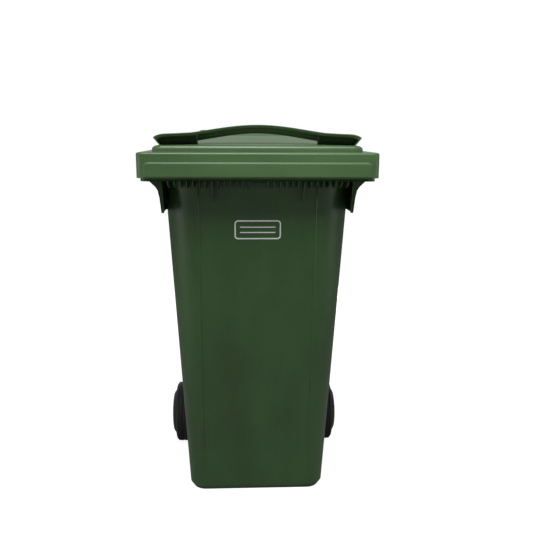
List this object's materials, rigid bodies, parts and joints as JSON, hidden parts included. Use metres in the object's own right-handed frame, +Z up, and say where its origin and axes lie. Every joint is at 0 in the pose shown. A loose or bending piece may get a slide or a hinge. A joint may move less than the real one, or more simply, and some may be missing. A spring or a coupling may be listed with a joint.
{
  "type": "two-wheeled refuse bin",
  "caption": "Tall tapered plastic refuse bin with a comb lifting rim, a rear handle bar, a hinged lid with a moulded grip and two rubber-tyred wheels on a steel axle.",
  "frame": {"origin": "middle of the bin's footprint at ground level", "axes": "+Z up, the lid's grip and the lifting rim's comb face -Y, the handle and the wheels are at +Y, +X to the right seen from the front"},
  "size_m": [0.58, 0.73, 1.06],
  "materials": {
    "body_plastic": "satin",
    "lid_plastic": "satin",
    "black_plastic": "satin",
    "wheel_plastic": "satin",
    "rubber_tyre": "matte",
    "zinc_steel": "zinc plated",
    "latch_plastic": "moulded",
    "label_white": "hot foil stamp"
  },
  "bodies": {
    "bin": {"body_shell": "body_plastic", "hinge_pin_left": "black_plastic", "hinge_pin_right": "black_plastic", "pin_cap_left": "body_plastic", "pin_cap_right": "body_plastic", "axle": "zinc_steel", "axle_bush_left": "black_plastic", "axle_bush_right": "black_plastic", "axle_washer_left": "zinc_steel", "axle_washer_right": "zinc_steel", "front_label": "label_white", "chip_plug": "black_plastic"},
    "lid_panel": {"lid": "lid_plastic"},
    "wheel_left": {"wheel_centre_left": "wheel_plastic", "tyre_left": "rubber_tyre", "hub_cap_left": "wheel_plastic"},
    "wheel_right": {"wheel_centre_right": "wheel_plastic", "tyre_right": "rubber_tyre", "hub_cap_right": "wheel_plastic"},
    "latch_left": {"wheel_latch_left": "latch_plastic"},
    "latch_right": {"wheel_latch_right": "latch_plastic"}
  },
  "joints": [
    {"name": "lid_hinge", "type": "hinge", "parent": "bin", "child": "lid_panel", "pos_m": [0, 0.348, 1], "axis": [-1, 0, 0], "range_deg": [0, 270]},
    {"name": "wheel_left_spin", "type": "hinge", "parent": "bin", "child": "wheel_left", "pos_m": [-0.242, 0.212, 0.1], "axis": [1, 0, 0], "continuous": true},
    {"name": "wheel_right_spin", "type": "hinge", "parent": "bin", "child": "wheel_right", "pos_m": [0.242, 0.212, 0.1], "axis": [1, 0, 0], "continuous": true},
    {"name": "latch_left_slide", "type": "slide", "parent": "wheel_left", "child": "latch_left", "axis": [0, 0, 1], "range_m": [0, 0.004], "stiffness_N_per_m": 600, "springref_m": -0.002},
    {"name": "latch_right_slide", "type": "slide", "parent": "wheel_right", "child": "latch_right", "axis": [0, 0, 1], "range_m": [0, 0.004], "stiffness_N_per_m": 600, "springref_m": -0.002}
  ]
}
